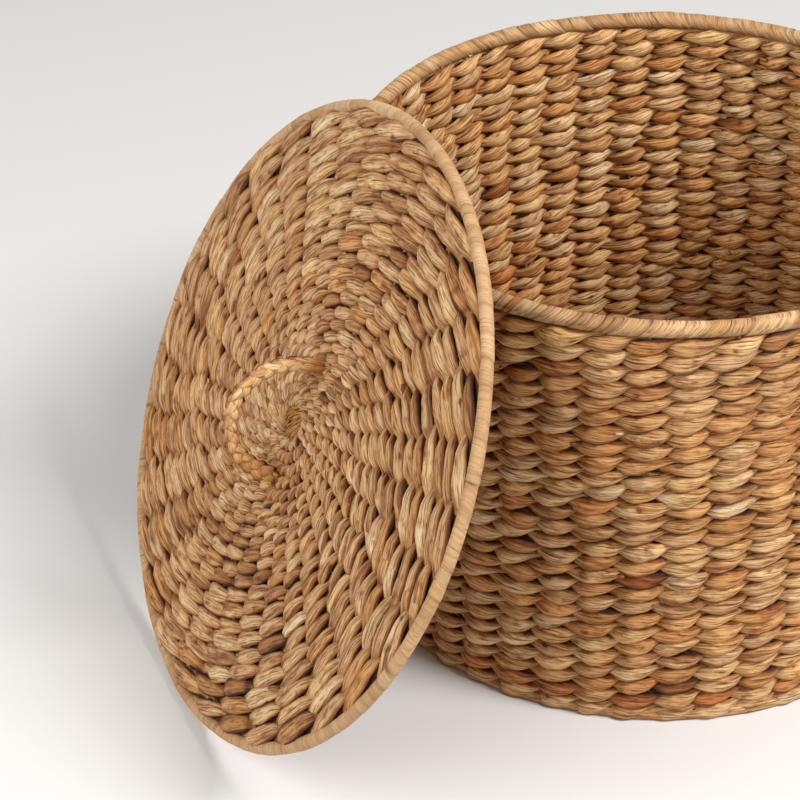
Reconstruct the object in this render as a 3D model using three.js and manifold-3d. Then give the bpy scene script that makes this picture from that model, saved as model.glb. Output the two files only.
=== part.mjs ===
// A round laundry basket, twined from dried water-plant strands over a cane frame, with its woven
// lid taken off and leaning on the rim. Millimetres, +Z up, origin on the floor under the basket.
import * as THREE from 'three';
import { mergeVertices } from 'three/addons/utils/BufferGeometryUtils.js';
import Module from 'manifold-3d';

const wasm = await Module();
wasm.setup();

// Clearance between pieces that touch on the real basket
const FIT_GAP = 0.3;

// Basket rim, wall and base
const RIM_RADIUS = 242; // axis to the middle of the rim hoop
const RIM_HEIGHT = 360; // floor to the middle of the rim hoop
const RIM_BINDING = 12; // diameter of the wrapped rim
const WALL_THICKNESS = 14;
const BASE_THICKNESS = 14;
const COURSE_COUNT = 27; // rounds of twining up the wall
const COURSE_GROOVE = 1.8; // depth of the groove between two courses

// Cane frame inside the weave
const STAKE_COUNT = 48; // uprights of the wall, and spokes at the edge of the base
const LID_SPOKE_COUNT = 32; // spokes at the edge of the lid
const STAKE_CANE = 3.2; // diameter of uprights, spokes and base hoop
const HOOP_CANE = 4; // diameter of the rim hoop and the lid hoop
const SHORT_SPOKE_START = 40; // distance from the centre where every second spoke begins

// Lid
const LID_RADIUS = 244; // lid centre to the middle of its hoop
const LID_BINDING = 12; // diameter of the wrapped edge
const LID_THICKNESS = 13;
const LID_ROUNDS = 20; // rounds of twining from the centre to the edge
const INNER_ROUND = 9; // width of the round next to the centre; they widen towards the edge
const ROUND_GROOVE = 1.5; // depth of the groove between two rounds

// Tuft that starts the weave in the middle of the lid and of the base
const EYE_RADIUS = 9;
const EYE_CROWN = 1.5; // how far the tuft stands above the weave

// Lean of the lid against the rim
const LEAN_ANGLE = 26.5; // degrees from upright
const LEAN_DIRECTION = 202.5; // degrees from +X, the way that the lid's outer face looks
const LEAN_SIDE_SHIFT = 34; // lid centre past the place where it touches the rim

// Plaited handle on the lid, an arch between two places on a line up the lean
const HANDLE_SPAN = 96; // between the middles of its two ends
const HANDLE_RISE = 54; // ends to the crown of the arch
const HANDLE_SWEEP = 6; // how far the crown stands up the lean from the middle of the ends
const HANDLE_THICKNESS = 10;
const HANDLE_ACROSS = 10; // middle of the handle from the lid's centre, across the lean
const HANDLE_UP = 7; // and up the lean
const KNOT_RADIUS = 9; // the handle's ends, knotted under the lid
const KNOT_HEIGHT = 8;

// Facets of the round shapes
const ROUND_FACETS = STAKE_COUNT; // one facet from stake to stake
const HOOP_SIDES = 6;
const STAKE_SIDES = 4;
const BINDING_STEPS = 9;
const BORE_STEPS = 5;
const DOME_STEPS = 4;
const EYE_FACETS = 16;
const KNOT_FACETS = 12;
const HANDLE_SIDES = 8;
const HANDLE_STEPS = 24;

// Places worked out from the sizes above
const stakeRadius = STAKE_CANE / 2;
const stakeRoom = stakeRadius + FIT_GAP; // half of the space that the weave leaves for a cane
const wallTop = RIM_HEIGHT - RIM_BINDING / 2 - FIT_GAP;
const baseMiddle = BASE_THICKNESS / 2;
const lidEdge = LID_RADIUS - LID_BINDING / 2 - FIT_GAP;
const lidTop = LID_THICKNESS / 2;
const lean = THREE.MathUtils.degToRad(LEAN_ANGLE);
const lidHeight = LID_RADIUS * Math.cos(lean) + LID_BINDING / 2;
const lidStandoff = RIM_BINDING / 2 + FIT_GAP + lidTop;
const lidDistance = RIM_RADIUS + (RIM_HEIGHT - lidHeight) * Math.tan(lean) + lidStandoff / Math.cos(lean);

// Edges of the lid's rounds, from the tuft outwards, each round a little wider than the one inside it
const spareWidth = lidEdge - EYE_RADIUS - LID_ROUNDS * INNER_ROUND;
const roundGrowth = (2 * spareWidth) / (LID_ROUNDS * (LID_ROUNDS - 1));
const roundEdges = [EYE_RADIUS];
for (let i = 0; i < LID_ROUNDS; i += 1) {
  roundEdges.push(roundEdges[i] + INNER_ROUND + roundGrowth * i);
}

// Height of the lid's outer face at a distance from its centre
function lidFace(distance) {
  const next = roundEdges.findIndex((edge) => edge > distance);
  const halfRound = (roundEdges[next] - roundEdges[next - 1]) / 2;
  const fromCrest = Math.abs(distance - roundEdges[next] + halfRound);
  return lidTop - (ROUND_GROOVE * fromCrest) / halfRound;
}

// The handle's ends sit on the face, each where the rounds leave it room
const endPlaces = [HANDLE_UP + HANDLE_SPAN / 2, HANDLE_UP - HANDLE_SPAN / 2];
const endFaces = endPlaces.map((place) => lidFace(Math.hypot(HANDLE_ACROSS, place)));
const handlePivot = Math.max(...endFaces) + FIT_GAP + HANDLE_THICKNESS / 2;

// Finishes
const fibre = { color: 0xb5905e, roughness: 0.72, metalness: 0 };
const bindingFibre = { color: 0xc9a672, roughness: 0.66, metalness: 0 };
const handleFibre = { color: 0xbf8f52, roughness: 0.55, metalness: 0 };
const eyeStraw = { color: 0xa8833a, roughness: 0.7, metalness: 0 };
const frameCane = { color: 0xcbb083, roughness: 0.6, metalness: 0 };

// Point by a polar angle in a profile, with its distance from the axis and its height
function polar(middle, radius, angle) {
  return new THREE.Vector2(middle.x + radius * Math.cos(angle), middle.y + radius * Math.sin(angle));
}

// Points along an arc, both ends included
function arc(middle, radius, from, to, steps) {
  const points = [];
  for (let i = 0; i <= steps; i += 1) {
    points.push(polar(middle, radius, from + ((to - from) * i) / steps));
  }
  return points;
}

// Merge the shared corners of a geometry and drop the triangles that have no area at an axis
function sealed(geometry) {
  geometry.deleteAttribute('normal');
  geometry.deleteAttribute('uv');
  const merged = mergeVertices(geometry);
  const corners = merged.index.array;
  const kept = [];
  for (let i = 0; i < corners.length; i += 3) {
    const [a, b, c] = corners.slice(i, i + 3);
    if (a !== b && b !== c && c !== a) {
      kept.push(a, b, c);
    }
  }
  merged.setIndex(kept);
  return merged;
}

// Turn a profile of (distance from the axis, height) round the Z axis, drawn anticlockwise
function turned(profile, facets = ROUND_FACETS) {
  const geometry = new THREE.LatheGeometry(profile, facets);
  geometry.rotateX(Math.PI / 2);
  return sealed(geometry);
}

// Turn a profile that closes on itself, away from the axis
function turnedRing(profile, facets = ROUND_FACETS) {
  return turned([...profile, profile[0]], facets);
}

// Join closed geometries into one solid
function joined(geometries) {
  let solid = null;
  for (const geometry of geometries) {
    const mesh = new wasm.Mesh({
      numProp: 3,
      vertProperties: new Float32Array(geometry.attributes.position.array),
      triVerts: new Uint32Array(geometry.index.array),
    });
    const piece = new wasm.Manifold(mesh);
    solid = solid ? solid.add(piece) : piece;
  }
  const skin = solid.getMesh();
  const geometry = new THREE.BufferGeometry();
  geometry.setAttribute('position', new THREE.BufferAttribute(skin.vertProperties, 3));
  geometry.setIndex([...skin.triVerts]);
  return geometry;
}

// Direction from the axis of one stake or spoke out of a number of them
function stakeDirection(index, count) {
  const turn = (2 * Math.PI * index) / count;
  return new THREE.Vector3(Math.sin(turn), -Math.cos(turn), 0);
}

// Straight cane between two points
function cane(start, end) {
  const run = end.clone().sub(start);
  const geometry = new THREE.CylinderGeometry(stakeRadius, stakeRadius, run.length(), STAKE_SIDES);
  const turn = new THREE.Quaternion().setFromUnitVectors(new THREE.Vector3(0, 1, 0), run.clone().normalize());
  const middle = start.clone().add(end).multiplyScalar(0.5);
  geometry.applyMatrix4(new THREE.Matrix4().compose(middle, turn, new THREE.Vector3(1, 1, 1)));
  return sealed(geometry);
}

// One spoke out of a number of them, that lies flat at a height, between two distances from the axis
function spoke(index, count, from, to, height) {
  const direction = stakeDirection(index, count);
  const start = direction.clone().multiplyScalar(from).setZ(height);
  const end = direction.clone().multiplyScalar(to).setZ(height);
  return cane(start, end);
}

// Ring of cane round the axis
function hoop(radius, height, diameter) {
  const middle = new THREE.Vector2(radius, height);
  const section = arc(middle, diameter / 2, 0, 2 * Math.PI, HOOP_SIDES);
  return turned([...section.slice(0, HOOP_SIDES), section[0]]);
}

// Every second spoke, long canes from edge to edge that cross at the centre: each makes two spokes
function spokeStar(count, edge, height) {
  const canes = [];
  for (let i = 0; i < count / 2; i += 2) {
    canes.push(spoke(i, count, -edge, edge, height));
  }
  return joined(canes);
}

// The short spokes between the long ones
function shortSpokes(count, edge, height) {
  const canes = [];
  for (let i = 1; i < count; i += 2) {
    canes.push(spoke(i, count, SHORT_SPOKE_START, edge, height));
  }
  return canes;
}

// Wrapped edge round a hoop, with a slot along it where the canes come in
function binding(radius, height, diameter, slotAngle) {
  const middle = new THREE.Vector2(radius, height);
  const bore = Math.hypot(HOOP_CANE / 2 + FIT_GAP, stakeRoom);
  const outerLip = Math.asin(stakeRoom / (diameter / 2));
  const innerLip = Math.asin(stakeRoom / bore);
  const round = slotAngle + 2 * Math.PI;
  const skin = arc(middle, diameter / 2, slotAngle + outerLip, round - outerLip, BINDING_STEPS);
  const lining = arc(middle, bore, round - innerLip, slotAngle + innerLip, BORE_STEPS);
  return turnedRing([...skin, ...lining]);
}

// Flat round layer of weave between two heights, with a round hole in the middle if one is given
function wovenDisc(edge, low, high, hole = 0) {
  const profile = [
    new THREE.Vector2(hole, low),
    new THREE.Vector2(edge, low),
    new THREE.Vector2(edge, high),
    new THREE.Vector2(hole, high),
  ];
  return hole > 0 ? turnedRing(profile) : turned(profile);
}

// Top layer of the lid, one swelling for each round
function lidTopLayer() {
  const profile = [new THREE.Vector2(EYE_RADIUS, stakeRoom), new THREE.Vector2(lidEdge, stakeRoom)];
  for (let i = LID_ROUNDS; i > 0; i -= 1) {
    profile.push(new THREE.Vector2(roundEdges[i], lidTop - ROUND_GROOVE));
    profile.push(new THREE.Vector2((roundEdges[i] + roundEdges[i - 1]) / 2, lidTop));
  }
  profile.push(new THREE.Vector2(EYE_RADIUS, lidTop - ROUND_GROOVE));
  return turnedRing(profile);
}

// Tuft that fills the hole in the middle of a woven layer and stands a little above it
function centreEye(low, high) {
  const edge = EYE_RADIUS - FIT_GAP;
  const profile = [new THREE.Vector2(0, low), new THREE.Vector2(edge, low)];
  for (let i = 0; i <= DOME_STEPS; i += 1) {
    const turn = (Math.PI / 2) * (i / DOME_STEPS);
    profile.push(new THREE.Vector2(edge * Math.cos(turn), high + EYE_CROWN * Math.sin(turn)));
  }
  profile[profile.length - 1].x = 0;
  return turned(profile, EYE_FACETS);
}

// Outer layer of the wall, one swelling for each course
function outerWall() {
  const inside = RIM_RADIUS + stakeRoom;
  const crest = RIM_RADIUS + WALL_THICKNESS / 2;
  const rise = wallTop / COURSE_COUNT;
  const profile = [new THREE.Vector2(inside, 0)];
  for (let i = 0; i < COURSE_COUNT; i += 1) {
    profile.push(new THREE.Vector2(crest - COURSE_GROOVE, i * rise));
    profile.push(new THREE.Vector2(crest, (i + 0.5) * rise));
  }
  profile.push(new THREE.Vector2(crest - COURSE_GROOVE, wallTop));
  profile.push(new THREE.Vector2(inside, wallTop));
  return turnedRing(profile);
}

// Inner layer of the wall, standing on the base
function innerWall() {
  const low = BASE_THICKNESS + FIT_GAP;
  const inside = RIM_RADIUS - WALL_THICKNESS / 2;
  const outside = RIM_RADIUS - stakeRoom;
  return turnedRing([
    new THREE.Vector2(inside, low),
    new THREE.Vector2(outside, low),
    new THREE.Vector2(outside, wallTop),
    new THREE.Vector2(inside, wallTop),
  ]);
}

// Base hoop with the uprights and the short base spokes joined to it
function uprightFrame() {
  const pieces = [hoop(RIM_RADIUS, baseMiddle, STAKE_CANE)];
  pieces.push(...shortSpokes(STAKE_COUNT, RIM_RADIUS, baseMiddle));
  const top = RIM_HEIGHT - HOOP_CANE / 2 - FIT_GAP;
  for (let i = 0; i < STAKE_COUNT; i += 1) {
    const foot = stakeDirection(i, STAKE_COUNT).multiplyScalar(RIM_RADIUS).setZ(baseMiddle);
    pieces.push(cane(foot, foot.clone().setZ(top)));
  }
  return joined(pieces);
}

// Lid hoop with the short lid spokes joined to it
function lidHoop() {
  return joined([hoop(LID_RADIUS, 0, HOOP_CANE), ...shortSpokes(LID_SPOKE_COUNT, LID_RADIUS, 0)]);
}

// Place of a handle end on the lid, at its pivot: side is 1 for the upper end and -1 for the lower
function handleEnd(side) {
  return new THREE.Vector3(HANDLE_ACROSS, HANDLE_UP + (side * HANDLE_SPAN) / 2, handlePivot);
}

// Plaited arch with rounded ends that sit on the lid
function handleLoop() {
  const points = [];
  for (let i = 0; i <= HANDLE_STEPS; i += 1) {
    const turn = (Math.PI * i) / HANDLE_STEPS;
    const along = (HANDLE_SPAN / 2) * Math.cos(turn) + HANDLE_SWEEP * Math.sin(turn);
    const out = handlePivot + HANDLE_RISE * Math.sin(turn);
    points.push(new THREE.Vector3(HANDLE_ACROSS, HANDLE_UP + along, out));
  }
  const outline = arc(new THREE.Vector2(), HANDLE_THICKNESS / 2, 0, 2 * Math.PI, HANDLE_SIDES);
  const arch = new THREE.ExtrudeGeometry(new THREE.Shape(outline), {
    steps: HANDLE_STEPS,
    bevelEnabled: false,
    extrudePath: new THREE.CatmullRomCurve3(points),
  });
  const pieces = [sealed(arch)];
  for (const side of [1, -1]) {
    const ball = new THREE.SphereGeometry(HANDLE_THICKNESS / 2, HANDLE_SIDES, HANDLE_SIDES / 2);
    const place = handleEnd(side);
    ball.translate(place.x, place.y, place.z);
    pieces.push(sealed(ball));
  }
  return joined(pieces);
}

// Knot of a handle end, against the underside of the lid
function handleKnot() {
  const profile = [];
  for (let i = 0; i <= DOME_STEPS; i += 1) {
    const turn = (Math.PI / 2) * (i / DOME_STEPS);
    profile.push(new THREE.Vector2(KNOT_RADIUS * Math.sin(turn), -KNOT_HEIGHT * Math.cos(turn)));
  }
  profile.push(new THREE.Vector2(0, 0));
  return turned(profile, KNOT_FACETS);
}

// Add a named piece to a group
function add(group, name, geometry, finish) {
  const material = new THREE.MeshStandardMaterial(finish);
  const mesh = new THREE.Mesh(geometry, material);
  mesh.name = name;
  group.add(mesh);
  return mesh;
}

const basket = new THREE.Group();
add(basket, 'upright_frame', uprightFrame(), frameCane);
add(basket, 'base_spoke_star', spokeStar(STAKE_COUNT, RIM_RADIUS - stakeRoom, baseMiddle), frameCane);
add(basket, 'base_weave_lower', wovenDisc(RIM_RADIUS - stakeRoom, 0, baseMiddle - stakeRoom), fibre);
const baseUpper = wovenDisc(RIM_RADIUS - stakeRoom, baseMiddle + stakeRoom, BASE_THICKNESS, EYE_RADIUS);
add(basket, 'base_weave_upper', baseUpper, fibre);
add(basket, 'base_centre_eye', centreEye(baseMiddle + stakeRoom, BASE_THICKNESS), eyeStraw);
add(basket, 'wall_weave_outer', outerWall(), fibre);
add(basket, 'wall_weave_inner', innerWall(), fibre);
add(basket, 'rim_hoop', hoop(RIM_RADIUS, RIM_HEIGHT, HOOP_CANE), frameCane);
add(basket, 'rim_binding', binding(RIM_RADIUS, RIM_HEIGHT, RIM_BINDING, -Math.PI / 2), bindingFibre);

// The lid is drawn flat, outer face up, then tilted and turned to its lean
const lid = new THREE.Group();
add(lid, 'lid_hoop', lidHoop(), frameCane);
add(lid, 'lid_spoke_star', spokeStar(LID_SPOKE_COUNT, LID_RADIUS - HOOP_CANE / 2 - FIT_GAP, 0), frameCane);
add(lid, 'lid_weave_top', lidTopLayer(), fibre);
add(lid, 'lid_weave_under', wovenDisc(lidEdge, -lidTop, -stakeRoom), fibre);
add(lid, 'lid_centre_eye', centreEye(stakeRoom, lidTop), eyeStraw);
add(lid, 'lid_binding', binding(LID_RADIUS, 0, LID_BINDING, Math.PI), bindingFibre);
add(lid, 'handle_loop', handleLoop(), handleFibre);
for (const [name, side] of [['handle_knot_upper', 1], ['handle_knot_lower', -1]]) {
  const knot = add(lid, name, handleKnot(), handleFibre);
  knot.position.copy(handleEnd(side)).setZ(-lidTop - FIT_GAP);
}
lid.rotation.x = Math.PI / 2 - lean;
lid.position.set(LEAN_SIDE_SHIFT, -lidDistance, lidHeight);

const leanTurn = new THREE.Group();
leanTurn.rotation.z = THREE.MathUtils.degToRad(LEAN_DIRECTION + 90);
leanTurn.add(lid);

const laundryBasket = new THREE.Group();
laundryBasket.add(basket, leanTurn);

export default laundryBasket;
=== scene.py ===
import math

import bmesh
import bpy
import numpy as np
from mathutils import Matrix, Vector


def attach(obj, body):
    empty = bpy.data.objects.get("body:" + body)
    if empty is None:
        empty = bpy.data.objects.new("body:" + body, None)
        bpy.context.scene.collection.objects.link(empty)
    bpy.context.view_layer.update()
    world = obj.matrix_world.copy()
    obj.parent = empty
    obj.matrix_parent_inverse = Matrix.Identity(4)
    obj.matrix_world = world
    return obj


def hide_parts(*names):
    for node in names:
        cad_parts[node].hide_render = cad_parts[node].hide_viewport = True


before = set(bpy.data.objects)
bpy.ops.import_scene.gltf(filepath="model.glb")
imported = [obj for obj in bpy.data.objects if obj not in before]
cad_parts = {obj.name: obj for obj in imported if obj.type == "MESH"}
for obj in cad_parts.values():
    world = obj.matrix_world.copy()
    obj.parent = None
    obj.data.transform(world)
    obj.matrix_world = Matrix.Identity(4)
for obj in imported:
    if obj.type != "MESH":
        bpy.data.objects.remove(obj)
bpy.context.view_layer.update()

CHANCE_SEED = 44
chance = np.random.default_rng(CHANCE_SEED)
FULL_TURN = 2 * math.pi

# Sizes of the basket, in metres, with the middle of its base above the floor and the room under its weave
RIM_RADIUS = 0.242
RIM_HEIGHT = 0.360
RIM_BINDING = 0.012
WALL_TOP = 0.3537
COURSES = 27
STAKES = 48
BASE_MIDDLE = 0.007
FLOOR_CLEAR = 0.0002

# Sizes of the lid and its lean
LID_RADIUS = 0.244
LID_BINDING = 0.012
LID_TOP = 0.0065
LID_ROUNDS = 20
LID_SPOKES = 32
INNER_ROUND = 0.009
LEAN = math.radians(26.5)
LEAN_DIRECTION = math.radians(202.5)
LEAN_SIDE_SHIFT = 0.034
FIT_GAP = 0.0003

# Sizes of the handle
HANDLE_SPAN = 0.096
HANDLE_RISE = 0.054
HANDLE_SWEEP = 0.006
HANDLE_ACROSS = 0.010
HANDLE_UP = 0.007
HANDLE_PIVOT = 0.0116


def lid_place():
    """The lid's place: across the lean, up the lean and out of its face, at its centre."""
    height = LID_RADIUS * math.cos(LEAN) + LID_BINDING / 2
    standoff = RIM_BINDING / 2 + FIT_GAP + LID_TOP
    away = RIM_RADIUS + (RIM_HEIGHT - height) * math.tan(LEAN) + standoff / math.cos(LEAN)
    tilt = Matrix.Rotation(math.pi / 2 - LEAN, 4, "X")
    turn = Matrix.Rotation(LEAN_DIRECTION + math.pi / 2, 4, "Z")
    return turn @ Matrix.Translation((LEAN_SIDE_SHIFT, -away, height)) @ tilt


LID_PLACE = lid_place()


# Camera at the photograph's viewing angle

CAMERA_PLACE = Vector((-0.2085, -1.7381, 1.3430))
CAMERA_PITCH = 0.6068
CAMERA_ROLL = -0.0197
CAMERA_LENS = 114.96
CAMERA_SENSOR = 36
CAMERA_REACH = 50


def set_camera():
    """Camera in front of the basket that looks down on it, rolled a little to one side."""
    level_up = Vector((0, math.sin(CAMERA_PITCH), math.cos(CAMERA_PITCH)))
    ahead = Vector((0, math.cos(CAMERA_PITCH), -math.sin(CAMERA_PITCH)))
    level_right = Vector((1, 0, 0))
    right = math.cos(CAMERA_ROLL) * level_right + math.sin(CAMERA_ROLL) * level_up
    up = math.cos(CAMERA_ROLL) * level_up - math.sin(CAMERA_ROLL) * level_right
    data = bpy.data.cameras.new("photo_camera")
    data.lens = CAMERA_LENS
    data.sensor_width = CAMERA_SENSOR
    data.clip_end = CAMERA_REACH
    camera = bpy.data.objects.new("photo_camera", data)
    camera.matrix_world = Matrix((
        (right.x, up.x, -ahead.x, CAMERA_PLACE.x),
        (right.y, up.y, -ahead.y, CAMERA_PLACE.y),
        (right.z, up.z, -ahead.z, CAMERA_PLACE.z),
        (0, 0, 0, 1),
    ))
    bpy.context.scene.collection.objects.link(camera)
    bpy.context.scene.camera = camera


set_camera()


# Colours and patterns of the finishes

# Curve from a screen colour to light: its levels, where its straight start ends and the slope there, and
# the shift and the power of the rest
SCREEN_LEVELS = 255
SCREEN_KNEE = 0.04045
SCREEN_SLOPE = 12.92
SCREEN_SHIFT = 0.055
SCREEN_POWER = 2.4


def light_of(part):
    """Light that one part of a screen colour stands for, both from 0 to 1."""
    if part <= SCREEN_KNEE:
        return part / SCREEN_SLOPE
    return ((part + SCREEN_SHIFT) / (1 + SCREEN_SHIFT)) ** SCREEN_POWER


def tint(code):
    """Linear colour from a six-figure screen colour."""
    return [light_of(level / SCREEN_LEVELS) for level in bytes.fromhex(code)] + [1.0]


def new_finish(name, roughness):
    """A new material, with its nodes, links and shader."""
    material = bpy.data.materials.new(name)
    material.use_nodes = True
    nodes = material.node_tree.nodes
    links = material.node_tree.links
    shader = nodes["Principled BSDF"]
    shader.inputs["Roughness"].default_value = roughness
    return material, nodes, links, shader


def shaded(nodes, links, value, stops):
    """Colour of a value, from pairs of place and screen colour."""
    node = nodes.new("ShaderNodeValToRGB")
    elements = node.color_ramp.elements
    while len(elements) < len(stops):
        elements.new(0.5)
    for element, (place, code) in zip(elements, stops):
        element.position = place
        element.color = tint(code)
    links.new(value, node.inputs["Fac"])
    return node.outputs["Color"]


def noise(nodes, links, vector, scale, detail, grain):
    """Cloudy pattern, with its scale, its number of finer sizes and how strong they are."""
    node = nodes.new("ShaderNodeTexNoise")
    node.inputs["Scale"].default_value = scale
    node.inputs["Detail"].default_value = detail
    node.inputs["Roughness"].default_value = grain
    links.new(vector, node.inputs["Vector"])
    return node.outputs["Fac"]


def multiplied(nodes, links, amount, first, second):
    """One colour darkened by another."""
    node = nodes.new("ShaderNodeMix")
    node.data_type = "RGBA"
    node.blend_type = "MULTIPLY"
    node.inputs["Factor"].default_value = amount
    links.new(first, node.inputs["A"])
    links.new(second, node.inputs["B"])
    return node.outputs["Result"]


def stretched(nodes, links, vector, along, across):
    """Map along and across a strand, scaled each way."""
    node = nodes.new("ShaderNodeMapping")
    node.inputs["Scale"].default_value = (along, across, 1)
    links.new(vector, node.inputs["Vector"])
    return node.outputs["Vector"]


def raise_surface(nodes, links, shader, height, strength, depth):
    """Give a shader the relief of a value."""
    node = nodes.new("ShaderNodeBump")
    node.inputs["Strength"].default_value = strength
    node.inputs["Distance"].default_value = depth
    links.new(height, node.inputs["Height"])
    links.new(node.outputs["Normal"], shader.inputs["Normal"])


# Finishes of the strands

# The darkest, warm stops, below the least stitch shade, are reached mostly through painted shade: dark
# edges, strands dipping under and the groove strands
WEAVE_TONES = [
    (0.0, "48280F"), (0.12, "8E5C30"), (0.28, "BC8B53"), (0.5, "D9B284"), (0.75, "E7CA9F"), (1.0, "F3DFBC"),
]
BINDING_TONES = [(0.0, "8A6038"), (0.2, "B48C5E"), (0.45, "CDAA7E"), (0.7, "DEC199"), (1.0, "EDD9B8")]
PLAIT_TONES = [(0.0, "6E4220"), (0.15, "B37C48"), (0.40, "D3A470"), (0.7, "E9CC9C"), (1.0, "F6E6C6")]
STRAW_TONES = [(0.0, "96682A"), (0.5, "CC9A4E"), (1.0, "E6BE7C")]
WARMTHS = [(0.0, "D4C2BA"), (0.25, "EEE2D8"), (0.45, "FFFFFF"), (0.7, "FFF2D6"), (1.0, "F4C79A")]
# Marks on a strand: how much closer they lie than its fibres along it and across it, their number of finer
# sizes and how strong these are, and the shades they give
STRAND_MARKS = {
    "fibre": (1.0, 1.0, 4.0, 0.70, [(0.37, "6A4220"), (0.43, "D6C0A4"), (0.50, "FFFFFF")]),
    "fold": (0.5, 0.3, 2.0, 0.55, [(0.34, "A88058"), (0.48, "F4ECE2"), (0.60, "FFFFFF")]),
    "blot": (2.0, 0.2, 3.0, 0.55, [(0.29, "7E4A2C"), (0.36, "DCC3AE"), (0.46, "FFFFFF")]),
    "hair": (2.4, 1.5, 1.0, 0.55, [(0.34, "BCA68E"), (0.44, "F0E8DE"), (0.50, "FFFFFF")]),
}
# Height of the folds over the height of the fibres
FOLD_RELIEF = 1.6


def strand_finish(name, tones, along, across, streak, roughness, gloss, relief):
    """Dried plant strand: a tone, which carries painted shade, and a warmth for each stitch, and marks that
    run along the strand.

    The fibres are counted to the metre along and across, and the streak is how strong the marks are.
    """
    material, nodes, links, shader = new_finish(name, roughness)
    shader.inputs["Specular IOR Level"].default_value = gloss

    colours = []
    for attribute, stops in (("tone", tones), ("warmth", WARMTHS)):
        node = nodes.new("ShaderNodeAttribute")
        node.attribute_name = attribute
        colours.append(shaded(nodes, links, node.outputs["Fac"], stops))
    colour = multiplied(nodes, links, 1.0, *colours)

    uv = nodes.new("ShaderNodeUVMap")
    uv.uv_map = "strand"
    marks = {}
    for mark, (closer_along, closer_across, detail, grain, stops) in STRAND_MARKS.items():
        surface = stretched(nodes, links, uv.outputs["UV"], along * closer_along, across * closer_across)
        marks[mark] = noise(nodes, links, surface, 1.0, detail, grain)
        colour = multiplied(nodes, links, streak, colour, shaded(nodes, links, marks[mark], stops))
    links.new(colour, shader.inputs["Base Color"])

    heights = nodes.new("ShaderNodeMath")
    heights.operation = "MULTIPLY_ADD"
    heights.inputs[1].default_value = FOLD_RELIEF
    links.new(marks["fold"], heights.inputs[0])
    links.new(marks["fibre"], heights.inputs[2])
    raise_surface(nodes, links, shader, heights.outputs["Value"], 1.0, relief)
    return material


weave_finish = strand_finish(
    "dried_strand", WEAVE_TONES, along=36, across=800, streak=0.85, roughness=0.6, gloss=0.3,
    relief=0.0011,
)
rim_finish = strand_finish(
    "wound_strip", BINDING_TONES, along=2000, across=60, streak=0.70, roughness=0.55, gloss=0.35,
    relief=0.0005,
)
lid_edge_finish = strand_finish(
    "lid_strip", BINDING_TONES, along=2600, across=60, streak=0.35, roughness=0.6, gloss=0.3,
    relief=0.0003,
)
plait_finish = strand_finish(
    "plaited_strand", PLAIT_TONES, along=60, across=1000, streak=0.6, roughness=0.42, gloss=0.45,
    relief=0.0004,
)
straw_finish = strand_finish(
    "straw_tuft", STRAW_TONES, along=80, across=1500, streak=0.7, roughness=0.6, gloss=0.3,
    relief=0.0003,
)


# Finish of the cane frame

CANE_NODES = ("upright_frame", "base_spoke_star", "rim_hoop", "lid_hoop", "lid_spoke_star")
CANE_ROUGHNESS = 0.55
CANE_TONES = [(0.30, "7A5836"), (0.48, "C3A06C"), (0.70, "DCC292")]
# Specks of the cane: their scale, their number of finer sizes and how strong these are, and their relief
SPECK_SCALE = 420
SPECK_DETAIL = 4.0
SPECK_GRAIN = 0.7
SPECK_STRENGTH = 0.6
SPECK_RELIEF = 0.0004


def cane_finish():
    """Peeled cane: pale, with brown specks."""
    material, nodes, links, shader = new_finish("peeled_cane", CANE_ROUGHNESS)
    place = nodes.new("ShaderNodeTexCoord")
    speck = noise(nodes, links, place.outputs["Object"], SPECK_SCALE, SPECK_DETAIL, SPECK_GRAIN)
    links.new(shaded(nodes, links, speck, CANE_TONES), shader.inputs["Base Color"])
    raise_surface(nodes, links, shader, speck, SPECK_STRENGTH, SPECK_RELIEF)
    return material


cane = cane_finish()
for node in CANE_NODES:
    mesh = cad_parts[node].data
    mesh.materials.clear()
    mesh.materials.append(cane)


# Strands

# Corners in the section of a flat and of a round strand, the longer side of a flat one over the shorter,
# and rings of corners from stake to stake
FLAT_CORNERS = 10
ROUND_CORNERS = 16
TALL = 1.5
STITCH_RINGS = 10
# Outer share of a section that painted shade darkens at its edges, the longest shift of a strand's map in
# metres, and the corners of a face
EDGE_SHADE_SHARE = 0.25
MAP_SHIFT = 50
FACE_CORNERS = 4
# Stitches from one change of the lumps to the next, and the fewest changes in a strand
LUMP_STITCHES = 2
FEWEST_CHANGES = 3


def strand_section(name, half_across, half_up, corners):
    """Section of a strand, drawn clockwise so that the strand's faces look outwards."""
    data = bpy.data.curves.new(name, "CURVE")
    data.dimensions = "2D"
    spline = data.splines.new("POLY")
    spline.points.add(corners - 1)
    for i, point in enumerate(spline.points):
        turn = -FULL_TURN * i / corners
        point.co = (half_across * math.cos(turn), half_up * math.sin(turn), 0, 1)
    spline.use_cyclic_u = True
    section = bpy.data.objects.new(name, data)
    bpy.context.scene.collection.objects.link(section)
    return section


tall_section = strand_section("tall_section", 1.0, TALL, FLAT_CORNERS)
wide_section = strand_section("flat_section", 1.0, 1 / TALL, FLAT_CORNERS)
round_section = strand_section("round_section", 1.0, 1.0, ROUND_CORNERS)


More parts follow.
